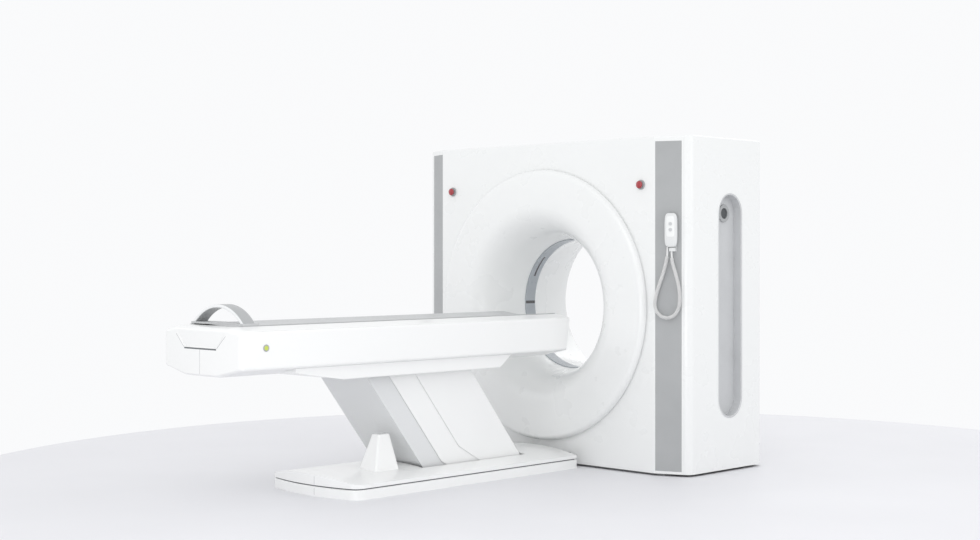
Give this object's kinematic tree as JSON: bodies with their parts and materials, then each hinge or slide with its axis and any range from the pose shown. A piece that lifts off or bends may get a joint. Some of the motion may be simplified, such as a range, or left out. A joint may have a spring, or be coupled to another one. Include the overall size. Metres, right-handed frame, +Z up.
{
  "type": "ct scanner",
  "caption": "White CT scanner: round-bore gantry with ring cover and hand controller, and a lifting patient table on slanted legs with a sliding couch top.",
  "frame": {"origin": "centre of the gantry's four floor anchors, on the floor straight below the isocentre", "axes": "+Z up; +Y from the table into the gantry along the bore axis; +X to the right seen from the table's foot end"},
  "size_m": [1.95, 2.993, 1.765],
  "materials": {
    "panel_white": "warm white, satin gloss",
    "table_white": "white, gloss",
    "handle_white": "white with grey faces, satin",
    "window_film": "light grey, translucent film",
    "dark_glass": "near black, polished",
    "grey_plastic": "mid grey, fine grain",
    "dark_plastic": "dark grey, fine grain",
    "red_plastic": "signal red, gloss",
    "green_plastic": "yellow-green, gloss",
    "controller_white": "off-white, satin",
    "tray_grey": "pale grey, smooth",
    "cord_rubber": "light grey, matte",
    "frame_steel": "light grey, satin",
    "machined_steel": "steel, machined",
    "cast_aluminium": "silver, cast",
    "tube_lead": "dark grey, satin",
    "detector_black": "black, fine",
    "slip_brass": "brass, polished tracks",
    "leg_grey": "pale grey, satin",
    "cradle_grey": "mid grey, smooth"
  },
  "bodies": {
    "frame": {"base_skirt": "table_white", "base_top_cover": "table_white", "bearing_outer_race": "machined_steel", "brush_block": "dark_plastic", "controller_cord": "cord_rubber", "controller_holder": "controller_white", "drive_belt": "cord_rubber", "drive_motor": "frame_steel", "estop_collars": "grey_plastic", "flap_pins": "dark_plastic", "front_cover": "panel_white", "gantry_base_frame": "frame_steel", "grip_trays": "tray_grey", "hand_controller": "controller_white", "laser_windows": "dark_glass", "lift_drive": "frame_steel", "lower_pivot_pins": "machined_steel", "pump_tower_cover": "table_white", "rear_cover": "panel_white", "rear_ring_cover": "panel_white", "ring_cover": "panel_white", "scan_window": "window_film", "side_covers": "panel_white", "speaker_bezels": "grey_plastic", "speaker_grilles": "dark_plastic", "stator_plate": "frame_steel", "table_base_plate": "frame_steel", "top_cover": "panel_white", "trim_strips": "grey_plastic"},
    "rotor": {"rotor_plate": "cast_aluminium", "bearing_inner_race": "machined_steel", "xray_tube": "tube_lead", "collimator": "cast_aluminium", "detector_arc": "detector_black", "hv_generator": "cast_aluminium", "counterweights": "tube_lead", "slip_ring": "slip_brass"},
    "pulley": {"motor_pulley": "machined_steel"},
    "front_arm": {"front_arm": "frame_steel", "front_arm_cover": "leg_grey"},
    "middle_cover": {"middle_cover": "table_white"},
    "rear_arm": {"rear_arm": "frame_steel", "rear_arm_cover": "table_white"},
    "table_top": {"table_frame": "frame_steel", "upper_pivot_pins": "machined_steel", "lift_shroud": "table_white", "beam_housing": "table_white", "foot_cap": "table_white", "cradle_rails": "machined_steel", "table_button_bezel": "grey_plastic"},
    "cradle": {"cradle_top": "cradle_grey", "cradle_runners": "machined_steel", "cradle_handle": "handle_white"},
    "lift_rod": {"lift_rod": "machined_steel"},
    "well_flap": {"well_flap": "table_white"},
    "estop_left": {"estop_button_left": "red_plastic"},
    "estop_right": {"estop_button_right": "red_plastic"},
    "table_button": {"table_button": "green_plastic"},
    "button_up": {"controller_button_up": "tray_grey"},
    "button_down": {"controller_button_down": "tray_grey"}
  },
  "joints": [
    {"name": "rotor_spin", "type": "hinge", "parent": "frame", "child": "rotor", "pos_m": [0, 0.075, 0.87], "axis": [0, 1, 0], "continuous": true},
    {"name": "pulley_spin", "type": "hinge", "parent": "frame", "child": "pulley", "pos_m": [-0.69, 0.075, 0.235], "axis": [0, 1, 0], "continuous": true},
    {"name": "table_lift", "type": "hinge", "parent": "frame", "child": "front_arm", "pos_m": [0, -1.295, 0.075], "axis": [-1, 0, 0], "range_deg": [-28, 4]},
    {"name": "middle_link", "type": "hinge", "parent": "frame", "child": "middle_cover", "pos_m": [0, -1.085, 0.075], "axis": [-1, 0, 0], "range_deg": [-28, 4]},
    {"name": "rear_link", "type": "hinge", "parent": "frame", "child": "rear_arm", "pos_m": [0, -0.853, 0.075], "axis": [-1, 0, 0], "range_deg": [-28, 4]},
    {"name": "table_level", "type": "hinge", "parent": "front_arm", "child": "table_top", "pos_m": [0, -1.67263, 0.5566], "axis": [-1, 0, 0], "range_deg": [-4, 28]},
    {"name": "cradle_slide", "type": "slide", "parent": "table_top", "child": "cradle", "axis": [0, 1, 0], "range_m": [0, 1.4]},
    {"name": "rod_slide", "type": "slide", "parent": "frame", "child": "lift_rod", "axis": [0, 1, 0], "range_m": [-0.004, 0.022]},
    {"name": "flap_hinge", "type": "hinge", "parent": "frame", "child": "well_flap", "pos_m": [0, -1.492, 0.084], "axis": [1, 0, 0], "range_deg": [-25, 4]},
    {"name": "estop_left_press", "type": "slide", "parent": "frame", "child": "estop_left", "axis": [0, 1, 0], "range_m": [0, 0.006], "stiffness_N_per_m": 1500},
    {"name": "estop_right_press", "type": "slide", "parent": "frame", "child": "estop_right", "axis": [0, 1, 0], "range_m": [0, 0.006], "stiffness_N_per_m": 1500},
    {"name": "table_button_press", "type": "slide", "parent": "table_top", "child": "table_button", "axis": [-1, 0, 0], "range_m": [0, 0.002], "stiffness_N_per_m": 800},
    {"name": "button_up_press", "type": "slide", "parent": "frame", "child": "button_up", "axis": [-0.3827, 0.9239, 0], "range_m": [0, 0.0015], "stiffness_N_per_m": 800},
    {"name": "button_down_press", "type": "slide", "parent": "frame", "child": "button_down", "axis": [-0.3827, 0.9239, 0], "range_m": [0, 0.0015], "stiffness_N_per_m": 800}
  ],
  "couplings": [
    {"joint": "pulley_spin", "follows": "rotor_spin", "ratio": 12.2},
    {"joint": "middle_link", "follows": "table_lift", "ratio": 1},
    {"joint": "rear_link", "follows": "table_lift", "ratio": 1},
    {"joint": "table_level", "follows": "table_lift", "ratio": -1},
    {"joint": "rod_slide", "follows": "table_lift", "m_per_rad": -0.0394},
    {"joint": "flap_hinge", "follows": "table_lift", "ratio": 0.87}
  ]
}
